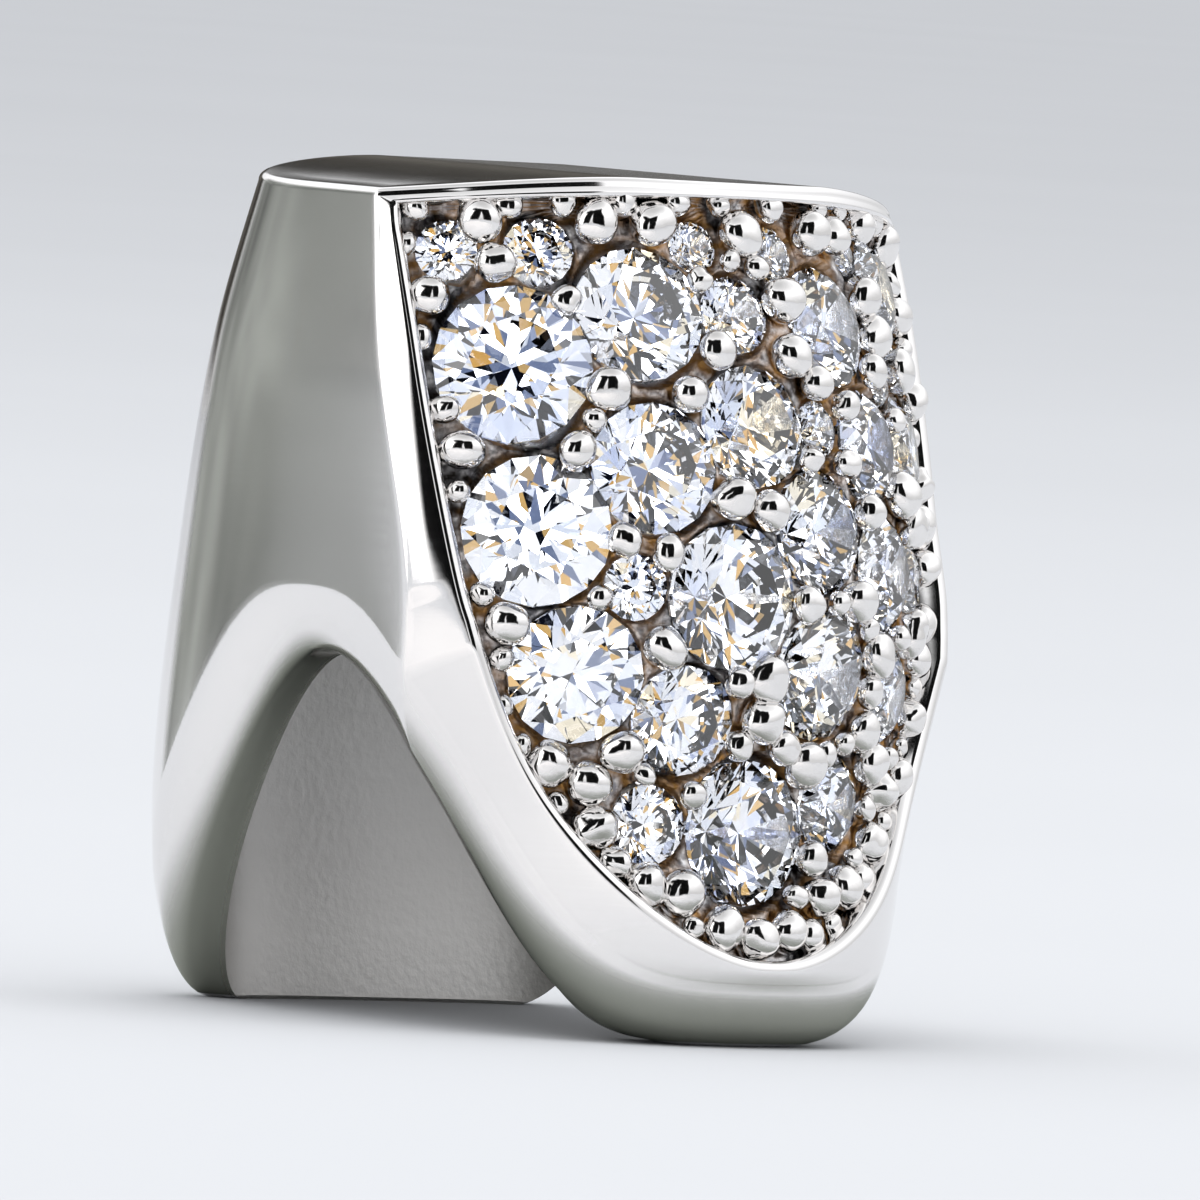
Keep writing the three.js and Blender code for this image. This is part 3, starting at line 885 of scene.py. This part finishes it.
top_panel = panel("top_panel", azimuth=0, elevation=88, distance=0.34, width=0.3, height=0.3, brightness=2.5)
top_panel.visible_glossy = False
floor_card(
    "bounce_card", azimuth=-62, distance=0.055, radius=0.06, height=0.00002, colour=(0.74, 0.73, 0.73))
# A dark disc around the cap's foot that only the metal sees: a painted reflection of the shade on the floor
# there.
floor_card(
    "foot_card", azimuth=180, distance=0.0004, radius=0.009, height=0.00004, colour=(0.2, 0.215, 0.19))

# Around the camera, for the stones alone: dark cards for the contrast between the facets, blue and amber
# ones for their fire, white panels behind them, and a pale sheet over the floor. The cards' sizes are in
# degrees as seen from the cap, to each side of their middle.
NIGHT = (0.006, 0.007, 0.012)
SLATE = (0.27, 0.33, 0.5)
AMBER = (0.8, 0.5, 0.18)
AMBER_GLOW = 0.3
SPARK_DISTANCE = 0.5
PANEL_DISTANCE = 0.7
PANEL_BRIGHTNESS = 4.5
for number, (azimuth, elevation, half_width, half_height, colour) in enumerate([
    (-88, 30, 5, 38, NIGHT),
    (-70, 5, 6, 11, NIGHT),
    (-58, 48, 12, 6, NIGHT),
    (-63, 25, 5, 15, NIGHT),
    (-18, -8, 10, 5, NIGHT),
    (-22, 35, 5, 25, NIGHT),
    (-8, 8, 6, 15, NIGHT),
    (12, 45, 10, 10, NIGHT),
    (25, 15, 5, 25, NIGHT),
    (48, 30, 6, 31, NIGHT),
    (-30, 66, 21, 6, NIGHT),
    (-48, 33, 6, 8, NIGHT),
    (-80, 55, 10, 8, NIGHT),
    (8, 22, 4, 11, NIGHT),
    (66, 40, 6, 18, NIGHT),
    (-78, 18, 5, 10, SLATE),
    (-30, 14, 5, 10, SLATE),
    (2, 28, 6, 14, SLATE),
    (36, 4, 6, 14, SLATE),
    (-60, 70, 14, 7, SLATE),
    (56, 50, 8, 8, SLATE),
    (-14, 44, 7, 6, SLATE),
    (-55, 10, 4, 10, AMBER),
    (-15, 14, 4, 9, AMBER),
    (18, 8, 5, 10, AMBER),
    (-40, 50, 9, 5, AMBER),
    (60, 12, 6, 12, AMBER),
    (-5, 55, 9, 6, AMBER),
    (44, 58, 9, 6, AMBER),
    (-30, 30, 4, 5, AMBER),
    (-70, 32, 6, 6, AMBER),
    (30, 42, 8, 6, AMBER),
]):
    half = SPARK_DISTANCE * np.tan(np.radians([half_width, half_height]))
    glow = AMBER_GLOW if colour == AMBER else 0.0
    name = f"spark_card_{number:02d}"
    spark = standing_card(name, azimuth, elevation, SPARK_DISTANCE, *half, colour, glow=glow)
    seen_by(spark, "transmission")
for number, (azimuth, elevation, width, height) in enumerate([
    (-78, 38, 0.4, 0.5),
    (-41, 12, 0.3, 0.3),
    (-5, 25, 0.4, 0.5),
    (38, 30, 0.5, 0.6),
    (78, 35, 0.6, 0.7),
    (-40, 62, 0.5, 0.3),
]):
    name = f"spark_panel_{number}"
    lamp = panel(name, azimuth, elevation, PANEL_DISTANCE, width, height, PANEL_BRIGHTNESS)
    seen_by(lamp, "transmission")
spark_floor = card(
    "spark_floor", middle=(0, -0.1, 0.00006), right=(0.4, 0, 0), up=(0, 0.4, 0), colour=(0.73, 0.75, 0.8))
seen_by(spark_floor, "transmission")

# The tent: dim near the floor, bright halfway up and dimmer again overhead, by the upward part of a
# direction. Light that has gone through a stone finds it evenly bright.
TENT_FLOOR = 0.78
TENT_BRIGHT = 1.4
TENT_OVERHEAD_LOSS = 0.7
TENT_FOR_STONES = 1.85
world = bpy.data.worlds.new("studio")
world.use_nodes = True
world.node_tree.nodes.clear()
start = Signal(world.node_tree)
upward = start.add("ShaderNodeSeparateXYZ", None, {0: start.add("ShaderNodeTexCoord", out=0)}, 2)
tent = ramped(upward, 0.1, 0.6, TENT_FLOOR, TENT_BRIGHT) - ramped(upward, 0.7, 1.0, 0.0, TENT_OVERHEAD_LOSS)
through_stone = start.add("ShaderNodeLightPath", out=6)
light = start.add(
    "ShaderNodeBackground",
    None,
    {"Color": (0.97, 0.98, 1.0, 1), "Strength": tent + through_stone * (TENT_FOR_STONES - tent)},
)
start.add("ShaderNodeOutputWorld", None, {"Surface": light})
bpy.context.scene.world = world

lens = bpy.data.cameras.new("camera")
lens.sensor_width = 36
lens.lens = 800
lens.clip_start = 0.01
camera = placed(
    lens, azimuth=-41.3, elevation=2, distance=0.3, target=(0.00035, -0.00009, 0.00478), roll=3.8)
bpy.context.scene.camera = camera
bpy.context.scene.view_settings.view_transform = "Standard"
